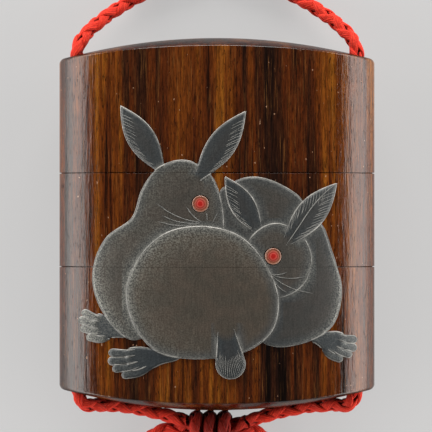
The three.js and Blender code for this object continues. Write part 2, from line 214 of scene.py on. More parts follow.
def turns(sides):
    """Even angles once round."""
    return np.arange(sides) / sides * 2 * math.pi


def tube(line, radius, sides):
    """Points of a round tube along a line, ring after ring. The radius may change along it."""
    _, across, up = frames_along(line)
    radius = np.broadcast_to(radius, len(line))[:, None]
    ring = [line + (across * math.cos(a) + up * math.sin(a)) * radius for a in turns(sides)]
    return np.stack(ring, axis=1).reshape(-1, 3)


def bundle(name, tubes, sides):
    """One piece from the points of closed tubes of equally many sides."""
    faces = []
    first = 0
    for points in tubes:
        end = first + len(points) - sides
        for a in range(first, end, sides):
            faces += [(a + k, a + (k + 1) % sides, a + (k + 1) % sides + sides, a + k + sides)
                      for k in range(sides)]
        faces.append(tuple(first + k for k in reversed(range(sides))))
        faces.append(tuple(end + k for k in range(sides)))
        first += len(points)
    points = np.vstack(tubes)
    points[:, 2] = np.maximum(points[:, 2], CLEAR_OF_FLOOR)
    return new_mesh(name, points, faces, smooth_below=80)


# ---- Camera ----
VIEW_WIDTH = 90.4  # seen at the case's middle depth
CAMERA_DISTANCE = 720.0
CAMERA_AIM = (-0.2, 1.7)


def add_camera():
    data = bpy.data.cameras.new("camera")
    data.sensor_width = 36
    data.lens = data.sensor_width * CAMERA_DISTANCE / VIEW_WIDTH
    camera = new_object("camera", data)
    height = MIDDLE_Z + CAMERA_DISTANCE
    camera.location = (CAMERA_AIM[0] * MM, CAMERA_AIM[1] * MM, height * MM)
    bpy.context.scene.camera = camera


# ---- The cord ----
# The strap's left half, from the bow up the left channel and round to the end of the loop.
STRAP_LEFT = [
    (-6.4, -41.6, 5.2), (-10.5, -40.4, 4.7), (-15.5, -39.15, 4.8), (-20.3, -38.3, 5.8),
    (-24.7, -38.0, 8.2), (-27.9, -37.5, 10.9), (-CHANNEL_X, -33.6, MIDDLE_Z),
    (-CHANNEL_X, -24, MIDDLE_Z), (-CHANNEL_X, -12, MIDDLE_Z), (-CHANNEL_X, 0, MIDDLE_Z),
    (-CHANNEL_X, 12, MIDDLE_Z), (-CHANNEL_X, 24, MIDDLE_Z), (-CHANNEL_X, 34.2, MIDDLE_Z),
    (-28.9, 37.6, 10.6), (-27.3, 40.1, 8.8), (-24.6, 42.8, 6.2), (-21.2, 45.4, 3.8),
    (-17.2, 47.9, 2.2), (-12.6, 50.0, 1.7), (-7.4, 51.6, 1.7), (-3.2, 53.8, 2.2),
    (-PAIR_X, 57.4, 2.5), (-PAIR_X, 61.6, 2.5), (-PAIR_X, 69.0, 1.5), (-PAIR_X, 79.0, 1.4),
    (-1.9, 87.0, 1.4), (-4.2, 93.6, 1.4), (-5.9, 99.0, 1.4), (-4.1, 103.8, 1.4),
]
STRAP_TIP = (0, 105.4, 1.4)
BOW_ENTRIES = [(-6.0, -41.7, 5.1), (-2.4, -42.7, 4.4), (2.4, -42.7, 4.4), (6.0, -41.7, 5.1)]
BOW_LEFT_LOOP = [
    (-1.8, -42.6, 4.6), (-6.4, -43.0, 3.0), (-10.8, -43.5, 1.8), (-14.6, -45.8, 1.4),
    (-16.0, -50.2, 1.4), (-13.6, -54.2, 1.4), (-9.4, -53.4, 1.4), (-7.6, -49.4, 1.5),
    (-5.8, -45.8, 2.6), (-3.6, -42.4, 4.4),
]
BOW_RIGHT_LOOP = [
    (1.6, -42.6, 4.6), (5.2, -43.2, 3.0), (8.8, -44.4, 1.8), (11.6, -47.4, 1.4),
    (12.0, -52.0, 1.4), (8.8, -55.2, 1.4), (5.0, -53.4, 1.4), (4.2, -49.4, 1.5),
    (3.4, -45.8, 2.6), (2.6, -42.4, 4.4),
]
BOW_LEFT_END = [
    (-1.2, -42.4, 4.5), (-3.0, -46.0, 2.4), (-4.4, -51.0, 1.4), (-5.2, -56.0, 1.5), (-6.2, -61.0, 1.65),
]
BOW_RIGHT_END = [
    (0.0, -42.4, 4.5), (0.5, -46.4, 2.4), (-0.2, -51.6, 1.4), (0.6, -57.0, 1.5), (1.8, -62.4, 1.65),
]
CORD_STEP = 0.32
BOW_TURN_XS = (-4.2, -1.4, 1.65)
BOW_TURN_CENTRE = (-43.2, 3.95)
BOW_TURN_RADIUS = 2.5
WHIPPING_LENGTH = 3.2  # thread wound round each end, so that it can't fray
WHIPPING_THREAD = 0.26

BRAID_TURN = 12.0  # length in which a strand goes once round the cord
STRAND_RING = 0.78  # how far a strand's middle is from the cord's
STRAND_WEAVE = 0.26  # how far it moves out and in where it crosses over and under
STRAND_WIDE = 1.0
STRAND_THICK = 0.54
STRAND_SIDES = 10
KNOT_SHADE_REACH = 7.0  # how far from the middle the knot is given painted shade
KNOT_SHADE_YS = (-45, -39)

THREAD_SIDES = 8
THREAD_PITCH = 1.9  # in radii of the thread
TIE_THREAD = 0.3


def strand(line, frames, turning, start):
    """One strand of a four-strand round braid round a line."""
    sides, ups = frames
    step = line_length(line) / (len(line) - 1)
    along = np.arange(len(line)) * step
    omega = 2 * math.pi / BRAID_TURN
    angle = (turning * omega * along + start)[:, None]
    out = sides * np.cos(angle) + ups * np.sin(angle)
    radius = STRAND_RING + turning * STRAND_WEAVE * np.sin(2 * omega * along)[:, None]
    middle = line + out * radius
    heading = np.gradient(middle, axis=0)
    heading /= np.linalg.norm(heading, axis=1)[:, None]
    across = np.cross(heading, out)
    across /= np.linalg.norm(across, axis=1)[:, None]
    turned = [2 * math.pi * k / STRAND_SIDES for k in range(STRAND_SIDES)]
    points = np.stack([
        middle + (out * (STRAND_THICK * math.cos(a)) + across * (STRAND_WIDE * math.sin(a)))
        for a in turned
    ], axis=1)
    depths = np.linalg.norm(points - line[:, None], axis=2).ravel()
    arounds = np.tile(np.arange(STRAND_SIDES) / STRAND_SIDES, len(line))
    return points.reshape(-1, 3), depths, np.repeat(along, STRAND_SIDES), arounds


def braid(name, lines):
    """A braided cord along each line, as one piece."""
    strands = []
    for line in lines:
        _, *frames = frames_along(line)
        for turning, start in ((1, 0), (1, math.pi), (-1, math.pi / 2), (-1, -math.pi / 2)):
            strands.append(strand(line, frames, turning, start))
    tubes, *values = zip(*strands)
    piece = bundle(name, tubes, STRAND_SIDES)
    depth, along, around = map(np.concatenate, values)
    x, y, _ = np.vstack(tubes).T
    low, high = KNOT_SHADE_YS
    # painted shade over the knot's turns and the strap's ends beside it
    worn = np.clip(1.3 - np.abs(x) / KNOT_SHADE_REACH, 0, 1) * ((y > low) & (y < high))
    set_attributes(piece, depth=depth, along=along, around=around, worn=worn)
    return piece


def turn_line(x):
    """One turn of the cord round the knot, a little more than closed."""
    y, z = BOW_TURN_CENTRE
    turn = np.linspace(-0.2, 2 * math.pi + 0.2, 60)
    across, up = BOW_TURN_RADIUS * np.cos(turn), BOW_TURN_RADIUS * np.sin(turn)
    return np.column_stack([x + 0.25 * turn / math.pi - 0.25, y + across, z + up])


def add_cord(silk):
    route = [*STRAP_LEFT, STRAP_TIP, *[(-x, y, z) for x, y, z in reversed(STRAP_LEFT)]]
    line = smooth_line(route, spacing=CORD_STEP)
    strap = finish(braid("cord_strap_braid", [line]), "cord_strap", silk)
    parts = (BOW_ENTRIES, BOW_LEFT_LOOP, BOW_RIGHT_LOOP, BOW_LEFT_END, BOW_RIGHT_END)
    bow_lines = [smooth_line(points, spacing=CORD_STEP) for points in parts]
    end_threads = [end_thread(line) for line in bow_lines[-2:]]
    bow_lines += [turn_line(x) for x in BOW_TURN_XS]
    bow = finish(braid("cord_bow_braid", bow_lines), "cord_bow", silk)
    tie = finish(wound("cord_tie_whipping", [tie_thread()]), "cord_tie", silk)
    whipped = finish(wound("cord_end_whippings", end_threads), None, silk)


def tie_thread():
    """Fine thread wound round both strands where they meet."""
    low, high = box_mm("cord_tie")
    wide, long, tall = high - low
    count = int(long / (THREAD_PITCH * TIE_THREAD))
    centre_z = (low[2] + high[2]) / 2
    radius = tall / 2 - TIE_THREAD
    straight = wide / 2 - TIE_THREAD - radius
    steps = 40
    i = np.arange(count * steps + 1)
    a = 2 * math.pi * i / steps
    x = radius * np.cos(a) + straight * np.tanh(4 * np.cos(a))
    y = low[1] + TIE_THREAD + (long - 2 * TIE_THREAD) * i / (count * steps)
    return np.column_stack([x, y, centre_z + radius * np.sin(a)]), TIE_THREAD


def end_thread(line):
    """Fine thread wound round the last stretch of an end, drawn in over its tip."""
    tip = line[-1]
    heading = line[-1] - line[-4]
    heading /= np.linalg.norm(heading)
    across = np.cross(heading, [0.0, 0.0, 1.0])
    across /= np.linalg.norm(across)
    up = np.cross(across, heading)
    radius = CORD_DIAMETER / 2
    pitch = THREAD_PITCH * WHIPPING_THREAD
    steps = 28
    wound_turns = round(WHIPPING_LENGTH / pitch)
    closing_turns = 3
    turn = (np.arange((wound_turns + closing_turns) * steps + 1) / steps)[:, None]
    close = np.maximum(0, turn - wound_turns) / closing_turns * math.pi / 2
    out = radius * np.cos(close) + 0.02
    forward = np.minimum(turn, wound_turns) * pitch - WHIPPING_LENGTH * 0.75
    forward = forward + 0.8 * np.sin(close)
    a = 2 * math.pi * turn
    return tip + heading * forward + (across * np.cos(a) + up * np.sin(a)) * out, WHIPPING_THREAD


def wound(name, threads):
    """Wound threads as fine tubes, in one piece."""
    piece = bundle(name, [tube(line, thread, THREAD_SIDES) for line, thread in threads], THREAD_SIDES)
    rings = [len(line) for line, _ in threads]
    depth = np.full(sum(rings) * THREAD_SIDES, CORD_DIAMETER / 2)
    along = np.repeat(np.concatenate([np.arange(count) for count in rings]) * 0.1, THREAD_SIDES)
    around = np.tile(turns(THREAD_SIDES) / (2 * math.pi), sum(rings))
    set_attributes(piece, depth=depth, along=along, around=around)
    return piece


# ---- The three tiers ----
angles = (np.arange(SECTION_SIDES) + 0.5) / SECTION_SIDES * 2 * math.pi


def crown_over(x, depth):
    """How far a domed end is from the case's middle, over a point of the section."""
    return HALF_HEIGHT - END_DROP * (x / HALF_WIDTH) ** 2 - FACE_DROP * (depth / HALF_DEPTH) ** 2


def outer_ring(margin, y):
    """One ring of the outer oval, at a height or at each point's own height."""
    x = (HALF_WIDTH + margin) * np.cos(angles)
    depth = (HALF_DEPTH + margin) * np.sin(angles)
    return np.column_stack([x, np.broadcast_to(y, x.shape), np.maximum(MIDDLE_Z + depth, 0)])


def inner_ring(grow, y):
    """One ring of the hollow's squarer oval."""
    cos, sin = np.cos(angles), np.sin(angles)
    power = 2 / HOLLOW_POWER
    x = (HOLLOW[0] + grow) * np.sign(cos) * np.abs(cos) ** power
    depth = (HOLLOW[1] + grow) * np.sign(sin) * np.abs(sin) ** power
    return np.column_stack([x, np.full(len(x), y), MIDDLE_Z + depth])


def dome_rings(end):
    """Rings of a domed end, from near its crown to the foot of its eased edge."""
    rings = []
    for share in np.linspace(0.06, 1, 18)[:-1]:
        ring = outer_ring(0, 0) - (0, 0, MIDDLE_Z)
        x, depth = ring[:, 0] * share, ring[:, 2] * share
        rings.append(np.column_stack([x, end * crown_over(x, depth), MIDDLE_Z + depth]))
    arris = ARRIS + (SIDE_ARRIS - ARRIS) * np.abs(np.cos(angles)) ** 8
    for a in np.linspace(0, math.pi / 2, 7):
        margin = arris * (math.sin(a) - 1)
        ring = outer_ring(margin, 0)
        y = crown_over(ring[:, 0], ring[:, 2] - MIDDLE_Z) - arris * (1 - math.cos(a))
        rings.append(outer_ring(margin, end * y))
    return rings


def seam_rings(y, inward):
    """The fine eased edge of a tier at a seam, and its face, which inside the groove comes up to
    the face that it meets. inward is the way into the tier along y."""
    meets = y - inward * (SEAM_GAP / 2 - TOUCH)
    return [
        *[outer_ring(SEAM_ARRIS * (math.cos(a) - 1), y + inward * SEAM_ARRIS * (1 - math.sin(a)))
          for a in np.linspace(0, math.pi / 2, 4)],
        outer_ring(-SEAM_GROOVE, y),
        outer_ring(-SEAM_GROOVE - 0.03, meets),
    ]


def rim_rings(seam):
    """A tray's raised rim, from its foot outside, over the top and down inside."""
    top = seam + RIM_HEIGHT
    ease = 0.15
    return [
        inner_ring(RIM_WALL, seam - TOUCH),
        inner_ring(RIM_WALL, top - ease),
        inner_ring(RIM_WALL - ease, top),
        inner_ring(ease, top),
        inner_ring(0, top - ease),
    ]


def wall(from_y, to_y):
    return [outer_ring(0, y) for y in np.linspace(from_y, to_y, 8)[1:-1]]


def along_case(y):
    return np.array([0, y, MIDDLE_Z])


def tier(name, rings, start, end):
    """A tier from its rings, with its cord channels bored."""
    rings = [ring[::-1] for ring in rings]
    points, faces = skinned(rings, along_case(start), along_case(end))
    piece = new_mesh(name, points, faces)
    cut(piece, channel_cutter(-CHANNEL_X), channel_cutter(CHANNEL_X))
    return piece


def channel_cutter(x):
    """A bore right through the case, with a funnel at either end."""
    mouth = crown_over(CHANNEL_X, 0)
    beyond = HALF_HEIGHT + 5
    profile = [
        (MOUTH_RADIUS, -beyond), (MOUTH_RADIUS, -mouth), (CHANNEL_RADIUS, MOUTH_DEPTH - mouth),
        (CHANNEL_RADIUS, mouth - MOUTH_DEPTH), (MOUTH_RADIUS, mouth), (MOUTH_RADIUS, beyond),
    ]
    middle = np.array([x, 0, MIDDLE_Z])
    rings = [(level_ring(r, y, BORE_SIDES)[:, [0, 2, 1]] + middle)[::-1] for r, y in profile]
    points, faces = skinned(rings, middle - (0, beyond, 0), middle + (0, beyond, 0))
    return new_mesh("channel_cutter", points, faces)


def stood_on_front(points, node):
    """Points made round +Z, turned to face out of the front at an eye."""
    x, y = EYES[node]
    depth = HALF_DEPTH * math.sqrt(1 - (x / HALF_WIDTH) ** 2)
    lean = math.atan2(x / HALF_WIDTH ** 2, depth / HALF_DEPTH ** 2)
    turned = points.copy()
    turned[:, 0] = points[:, 0] * math.cos(lean) + points[:, 2] * math.sin(lean)
    turned[:, 2] = -points[:, 0] * math.sin(lean) + points[:, 2] * math.cos(lean)
    return turned + (x, y, MIDDLE_Z + depth)


def seat_cutter(node):
    """A round seat for an eye, cut into the wood."""
    ends = (-EYE_SUNK - 0.05, 2.0)
    rings = [level_ring(EYE_RADIUS + SEAT_PLAY, height, BORE_SIDES) for height in ends]
    points, faces = skinned(rings, *[np.array([0, 0, height]) for height in ends])
    return new_mesh("seat_cutter", stood_on_front(points, node), faces)


def add_tiers(wood):
    lid_face, lid_under = LID_SEAM + SEAM_GAP / 2, LID_SEAM - SEAM_GAP / 2
    tray_face, tray_under = TRAY_SEAM + SEAM_GAP / 2, TRAY_SEAM - SEAM_GAP / 2
    ceiling = HALF_HEIGHT - CROWN_WALL - FACE_DROP
    socket = RIM_WALL + RIM_PLAY
    edge_y = HALF_HEIGHT - END_DROP - SIDE_ARRIS
    lid = tier("lid_shell", [
        inner_ring(0, ceiling), inner_ring(0, LID_SEAM + SOCKET_DEPTH),
        inner_ring(socket, LID_SEAM + SOCKET_DEPTH), inner_ring(socket, LID_SEAM + TOUCH),
        *reversed(seam_rings(lid_face, 1)), *wall(lid_face, edge_y), *reversed(dome_rings(1)),
    ], ceiling, HALF_HEIGHT)
    middle = tier("middle_tray_shell", [
        inner_ring(socket, TRAY_SEAM + SOCKET_DEPTH), inner_ring(socket, TRAY_SEAM + TOUCH),
        *reversed(seam_rings(tray_face, 1)), *wall(tray_face, lid_under), *seam_rings(lid_under, -1),
        *rim_rings(LID_SEAM), inner_ring(0, TRAY_SEAM + SOCKET_DEPTH + FLOOR),
    ], TRAY_SEAM + SOCKET_DEPTH, TRAY_SEAM + SOCKET_DEPTH + FLOOR)
    cut(middle, *[seat_cutter(node) for node in EYES])
    bottom = tier("bottom_tray_shell", [
        *dome_rings(-1), *wall(-edge_y, tray_under), *seam_rings(tray_under, -1),
        *rim_rings(TRAY_SEAM), inner_ring(0, -ceiling),
    ], -HALF_HEIGHT, -ceiling)
    finish(lid, "lid", wood)
    finish(middle, "middle_tray", wood)
    finish(bottom, "bottom_tray", wood)


# ---- The rabbits ----
EAR_FULLEST = 0.55  # where an ear is widest, as a share of its length
TOES = 4


def aimed(start, end):
    """Two points, the direction from one to the other and the direction to its left."""
    start, end = np.array(start, float), np.array(end, float)
    along = (end - start) / np.linalg.norm(end - start)
    return start, end, along, np.array([-along[1], along[0]])


def ear(root, tip, width):
    """A pointed leaf from its root to its tip."""
    root, tip, _, across = aimed(root, tip)
    t = np.linspace(0, 1, 40)[:-1, None]
    power = math.log(0.5) / math.log(EAR_FULLEST)
    swell = np.sin(math.pi * (0.05 + 0.95 * t) ** power) * width / 2
    middle = root + t * (tip - root)
    return np.vstack([middle - swell * across, tip, (middle + swell * across)[::-1]])


def tail(root, end, root_width, radius):
    """A drop that widens from a narrow root to a round end."""
    root, end = np.array(root, float), np.array(end, float)
    heading = math.atan2(end[1] - root[1], end[0] - root[0])
    across = np.array([-math.sin(heading), math.cos(heading)]) * root_width / 2
    return np.vstack([root + across, root - across, end + arc(radius, heading, 100, 41)])


def arc(radius, heading, half, count):
    """Points of an arc round the origin, to half its angle in degrees at either side of a heading."""
    angle = heading + np.radians(np.linspace(-half, half, count))
    return radius * np.column_stack([np.cos(angle), np.sin(angle)])


def foot(heel, toe, width, lead):
    """A hind foot: outlines of the sole and of each toe. The toe that leads is off the middle by a
    share of the width, and the others fall back from it."""
    heel, toe, along, across = aimed(heel, toe)
    length = np.linalg.norm(toe - heel)

    def at(u, v):
        return heel + u * along + v * width * across

    shares = [(0, -0.14), (0.3, -0.26), (0.55, -0.44), (0.72, -0.40),
              (0.72, 0.40), (0.55, 0.44), (0.3, 0.26), (0, 0.14)]
    outlines = [smooth_line([at(u * length, v) for u, v in shares], closed=True)]
    radius = width / 2 / TOES
    places = [(k + 0.5) / TOES - 0.5 for k in range(TOES)]
    for v in sorted(places, key=lambda v: abs(v - lead), reverse=True):
        tip = length - radius - 1.3 * width * (v - lead) ** 2
        bend = 0.05 * np.sign(lead)
        spine = [at(tip - 0.36 * length, v * 0.72), at(tip - 0.18 * length, v * 0.92 - bend), at(tip, v)]
        outlines.append(finger(smooth_line(spine, spacing=0.3), radius * 0.8, radius * 1.16))
    return outlines


def finger(spine, root_radius, tip_radius):
    """The outline of a rounded finger along a bent spine."""
    tangent = np.gradient(spine, axis=0)
    tangent /= np.linalg.norm(tangent, axis=1)[:, None]
    across = np.column_stack([-tangent[:, 1], tangent[:, 0]])
    radius = np.linspace(root_radius, tip_radius, len(spine))[:, None]
    heading = math.atan2(tangent[-1, 1], tangent[-1, 0])
    tip = spine[-1] + arc(tip_radius, heading, 80, 13)
    return np.vstack([spine - across * radius, tip, (spine + across * radius)[::-1]])


BACK_RABBIT_BODY = [
    (-7.0, 13.3), (-12.6, 11.4), (-15.6, 7.0), (-17.6, 1.4), (-23.0, -2.8), (-25.9, -10.0),
    (-23.8, -18.0), (-17.0, -24.0), (-4.0, -14.0), (1.0, -4.0), (0.9, 4.8), (-1.8, 11.0),
]
RIGHT_RABBIT_BODY = [
    (14.2, 1.6), (20.6, 1.4), (24.0, -6.0), (25.9, -13.6), (23.8, -21.2), (17.0, -24.8),
    (9.6, -24.6), (2.0, -14.0), (6.0, -3.0),
]
RIGHT_RABBIT_HEAD = [
    (11.4, 0.2), (17.0, -1.6), (19.6, -7.2), (17.4, -13.0), (11.8, -15.2), (6.2, -10.0), (6.6, -3.2),
]
RIGHT_RABBIT_BACK = [
    (0.4, 6.4), (3.2, 8.8), (8.0, 9.8), (13.6, 8.0), (18.2, 4.2), (18.4, -6.0), (1.2, -6.0),
]
FRONT_RABBIT_BODY = [
    (-2.4, -0.4), (5.0, -2.6), (10.4, -8.8), (12.7, -15.6), (11.4, -22.0), (5.4, -26.6), (-4.5, -27.8),
    (-12.6, -26.2), (-17.2, -20.8), (-18.7, -13.4), (-15.8, -6.4), (-10.2, -1.6),
]
EARS = {
    "back_left": dict(root=(-10.6, 9.8), tip=(-20.0, 24.6), width=5.8),
    "back_right": dict(root=(-4.8, 8.2), tip=(6.0, 23.4), width=5.8),
    "right_left": dict(root=(9.4, -2.8), tip=(1.6, 9.9), width=5.2),
    "right_right": dict(root=(13.2, -5.0), tip=(24.9, 8.6), width=6.0),
}
TAIL = dict(root=(1.8, -21.4), end=(2.8, -28.8), root_width=3.4, radius=3.1)
LEFT_FOOT = dict(heel=(-17.6, -22.4), toe=(-28.8, -20.6), width=6.2, lead=-0.15)
RIGHT_FOOT = dict(heel=(18.6, -22.4), toe=(28.6, -26.6), width=6.2, lead=0.1)
FRONT_FOOT = dict(heel=(-7.6, -26.6), toe=(-22.3, -29.2), width=6.4, lead=-0.15)


def body(points):
    return smooth_line(points, closed=True, spacing=0.5)


def layer(height, outline, root=None, fade=0.0, cool=0.0, tone=0.5):
    """One figure: its outline, the height of its lacquer, the root where it grows out of what lies
    under it without an edge, how far that reaches, how cool its grey is and how pale its rim."""
    root = None if root is None else np.array(root, float)
    return dict(height=height, outline=outline, root=root, fade=fade, cool=cool, tone=tone)


def ear_layer(height, name, fade=3.6):
    return layer(height, ear(**EARS[name]), EARS[name]["root"], fade=fade, cool=0.7, tone=0.72)


def foot_layers(height, toe_cool, **sizes):
    """The sole, and each toe a little higher than the one before."""
    sole, *toes = foot(**sizes)
    layers = [layer(height, sole, sizes["heel"], fade=1.5, cool=0.9, tone=0.62)]
    for step, toe in enumerate(toes):
        root = (toe[0] + toe[-1]) / 2
        layers.append(layer(height + 0.05 + 0.03 * step, toe, root, fade=1.5, cool=toe_cool, tone=0.6))
    return layers


# from the furthest back to the nearest
FIGURES = [
    layer(0.30, body(RIGHT_RABBIT_BACK), cool=0.4, tone=0.45),
    ear_layer(0.36, "back_left"),
    *foot_layers(0.34, 0.6, **LEFT_FOOT),
    *foot_layers(0.34, 0.85, **RIGHT_FOOT),
    layer(0.42, body(BACK_RABBIT_BODY), cool=0.25, tone=0.5),
    ear_layer(0.48, "back_right", fade=2.4),
    layer(0.42, body(RIGHT_RABBIT_BODY), (10, 0), fade=9, cool=0.5, tone=0.5),
    ear_layer(0.50, "right_left"),
    layer(0.56, body(RIGHT_RABBIT_HEAD), cool=0.3, tone=0.45),
    ear_layer(0.62, "right_right"),
    *foot_layers(0.46, 0.9, **FRONT_FOOT),
    layer(0.72, body(FRONT_RABBIT_BODY), tone=0.52),
    layer(0.90, tail(**TAIL), TAIL["root"], fade=2.8, cool=0.75, tone=0.62),
]
SUNK = -0.3  # where the skin ends, under the wood
LACQUER_GAP = 0.05  # between the lacquer of two tiers
STEP_WIDTH = 0.5
EYE_RADIUS = 1.7
EYE_SUNK = 0.5
EYE_SIDES = 64
SEAT_PLAY = 0.1
EYE_LIFTS = {"back_rabbit_eye": 0.1, "right_rabbit_eye": 0.24}
EYES = {"back_rabbit_eye": (-3.4, 4.2), "right_rabbit_eye": (11.5, -6.6)}


def depth_inside(points, outline):
    """How far each point is inside an outline; less than nothing outside it."""
    inside = np.zeros(len(points), dtype=bool)
    nearest = np.full(len(points), np.inf)
    x, y = points.T
    for (ax, ay), (bx, by) in zip(outline, np.roll(outline, -1, axis=0)):
        ex, ey = bx - ax, by - ay
        t = np.clip(((x - ax) * ex + (y - ay) * ey) / max(ex * ex + ey * ey, 1e-12), 0, 1)
        nearest = np.minimum(nearest, (x - ax - t * ex) ** 2 + (y - ay - t * ey) ** 2)
        if ay != by:
            inside ^= ((ay > y) != (by > y)) & (x < ax + (y - ay) * ex / ey)
    return np.where(inside, 1, -1) * np.sqrt(nearest)


def from_root(points, figure):
    """0 at a figure's root, 1 where its own edge is full again."""
    if figure["root"] is None:
        return np.ones(len(points))
    away = np.linalg.norm(points - figure["root"], axis=1) / figure["fade"]
    return np.clip(1.6 * away - 0.6, 0, 1)


def lacquer(points):
    """At points of the front: the lacquer's height over the wood, how near a rim shows, and how
    cool its grey is."""
    height = np.full(len(points), SUNK)
    rim = np.full(len(points), 9.0)
    cool = np.zeros(len(points))
    for figure in FIGURES:
        outline = figure["outline"]
        low, high = outline.min(axis=0) - 1, outline.max(axis=0) + 1
        near = np.flatnonzero(np.all((points > low) & (points < high), axis=1))
        depth = depth_inside(points[near], outline)
        edge = from_root(points[near], figure)
        share = np.clip((depth + 0.24 * STEP_WIDTH) / STEP_WIDTH, 0, 1)
        share = share * share * (3 - 2 * share)
        share *= np.where(height[near] > 0, edge, 1)
        full = figure["height"] * (0.8 + 0.2 * (1 - np.exp(-np.maximum(depth, 0) / 3)))
        height[near] += (full - height[near]) * share
        inner = depth > 0
        from_rim = np.abs(depth) + 4 * (1 - edge)
        rim[near] = np.where(inner, from_rim, np.minimum(rim[near], from_rim))
        cool[near] += np.where(inner, (figure["cool"] - cool[near]) * edge, 0)
    for centre in EYES.values():
        away = np.linalg.norm(points - centre, axis=1)
        height = np.where(away < EYE_RADIUS + SEAT_PLAY, height - 0.35, height)
    return height, rim, cool


def on_front(x, y, height):
    """Points of the case's front, raised by a height."""
    depth = (HALF_DEPTH + height) * np.sqrt(1 - (x / (HALF_WIDTH + height)) ** 2)
    return np.column_stack([x, y, MIDDLE_Z + depth])


GRID_STEP = 0.2
SKIN_MARGIN = 0.5
STROKE_SIDES = 6


def skin_end(y, outward):
    """Where a tier's lacquer ends: close to its seam, or else a little past its box."""
    for seam in (LID_SEAM, TRAY_SEAM):
        if abs(y - seam) < 1:
            return seam - outward * LACQUER_GAP / 2
    return y + outward * SKIN_MARGIN


def dusted(points, rim, cool):
    """How pale the lacquer is made, part pale dust and part painted light: in from the rims at the
    flanks, furthest on the left, and softly over the crests and the left side of the nearest figure, the
    sides that the light falls on."""
    x, y = points.T
    inward = np.maximum(rim, 0)
    warm = (1 - cool) ** 3
    flank = np.clip((np.abs(x) - 14) / 10, 0, 1) * np.clip((-4 - y) / 8, 0.1, 1)
    # paler on the left flank than the right and over the crests: partly painted light
    dust = np.exp(-inward / np.where(x < 0, 2.0, 0.85)) * (0.1 + 0.88 * flank)
    dust += 0.44 * np.exp(-inward / 3.5) * np.clip((y + 14) / 10, 0, 1) * warm
    dust += 0.22 * np.exp(-inward / 5) * np.clip(-x / 12, 0, 1) * warm
    return dust * (1 - 0.8 * np.clip(2 * cool - 1, 0, 1))


def relief_skin(name, node):
    """The lacquer of one tier, as a closed skin whose edges run down into the wood."""
    low, high = box_mm(node)
    xs = np.arange(low[0] - SKIN_MARGIN, high[0] + SKIN_MARGIN, GRID_STEP)
    from_y, to_y = skin_end(low[1], -1), skin_end(high[1], 1)
    ys = np.linspace(from_y, to_y, round((to_y - from_y) / GRID_STEP) + 1)
    grid = np.stack(np.meshgrid(xs, ys), axis=-1).reshape(-1, 2)
    height, rim, cool = lacquer(grid)
    across = len(xs)
    kept = (height > SUNK + 0.01).reshape(len(ys), across)
    cells = kept[:-1, :-1] | kept[1:, :-1] | kept[:-1, 1:] | kept[1:, 1:]
    rows, columns = np.nonzero(cells)
    corner = rows * across + columns
    quads = np.column_stack([corner, corner + 1, corner + across + 1, corner + across])
    used = np.unique(quads)
    index = np.full(len(grid), -1)
    index[used] = np.arange(len(used))
    quads = index[quads]
    grid, height, rim, cool = grid[used], height[used], rim[used], cool[used]
    top = on_front(*grid.T, height)
    base = on_front(*grid.T, np.full(len(used), SUNK - 0.15))
    under = quads[:, ::-1] + len(used)
    edges = [tuple(edge) for k in range(4) for edge in quads[:, [k, (k + 1) % 4]].tolist()]
    paired = set(edges)
    sides = [(b, a, a + len(used), b + len(used)) for a, b in edges if (b, a) not in paired]
    faces = quads.tolist() + under.tolist() + sides
    piece = new_mesh(name, np.vstack([top, base]), faces, smooth_below=45)
    rim, cool, dust = (np.tile(values, 2) for values in (rim, cool, dusted(grid, rim, cool)))
    set_attributes(piece, rim=rim, cool=cool, dust=dust)
    return piece


def stroke_tube(line, radius):
    """A fine tube along a line on the front that thins to nothing at its ends."""
    height, _, _ = lacquer(line)
    spine = on_front(*line.T, np.maximum(height, 0))
    along = np.linspace(0, 1, len(line))
    return tube(spine, radius * np.clip(8 * np.minimum(along, 1 - along), 0.25, 1), STROKE_SIDES)


def rim_lines():
    """The stretches of every outline that no nearer figure covers, just inside it. The third value
    of a point is its tone, which is paler where the outline faces the lid: a painted highlight of the
    light from past the lid."""
    lines = []
    for order, figure in enumerate(FIGURES):
        outline = figure["outline"]
        closed = np.vstack([outline, outline[:1]])
        line = even_steps(closed, 0.35)[:-1]
        tangent = np.roll(line, -1, axis=0) - np.roll(line, 1, axis=0)
        inward = np.column_stack([-tangent[:, 1], tangent[:, 0]])
        inward /= np.linalg.norm(inward, axis=1)[:, None]
        if depth_inside(line[:1] + 0.1 * inward[:1], outline)[0] < 0:
            inward = -inward
        line = line + 0.12 * inward
        shown = from_root(line, figure) > 0.35
        for nearer in FIGURES[order + 1:]:
            shown &= depth_inside(line, nearer["outline"]) < 0.05
        # painted highlight: the rims that face the lid are paler
        tone = figure["tone"] + (0.5 - 0.4 * figure["cool"]) * np.maximum(-inward[:, 1], 0) ** 3
        if figure["root"] is not None:
            away = np.linalg.norm(line - figure["root"], axis=1)
            tone *= np.clip(away / (2.4 * figure["fade"]), 0.65, 1)
        lines += runs(np.column_stack([line, tone]), shown)
    return lines


def stretches(shown):
    """The start and the end of each run that is long enough to draw."""
    edges = np.flatnonzero(np.diff(np.concatenate([[0], shown.astype(int), [0]])))
    return [(a, b) for a, b in zip(edges[::2], edges[1::2]) if b - a > 3]


def runs(line, shown):
    """The stretches of a closed line where it shows."""
    if shown.all():
        return [np.vstack([line, line[:1]])]
    first = int(np.flatnonzero(~shown)[0])
    line, shown = np.roll(line, -first, axis=0), np.roll(shown, -first)
    return [line[a:b] for a, b in stretches(shown)]


def ear_hairs(root, tip, width, side):
    """Short hairs that slant in from one edge of an ear towards its root."""
    outline = ear(root, tip, width)
    count = len(outline) // 2
    edge = outline[:count] if side < 0 else outline[:count:-1]
    _, _, along, across = aimed(root, tip)
    hairs = []
    for start in even_steps(edge[count // 3:], 0.66)[:-2]:
        reach = rng.uniform(0.22, 0.30) * width
        end = start - across * side * reach - along * rng.uniform(2.4, 3.1)
        bend = (start + end) / 2 + along * 0.12
        if depth_inside(end[None], outline)[0] > 0.2:
            hairs.append(even_steps(smooth_line([start, bend, end], spacing=0.15), 0.15))
    return hairs


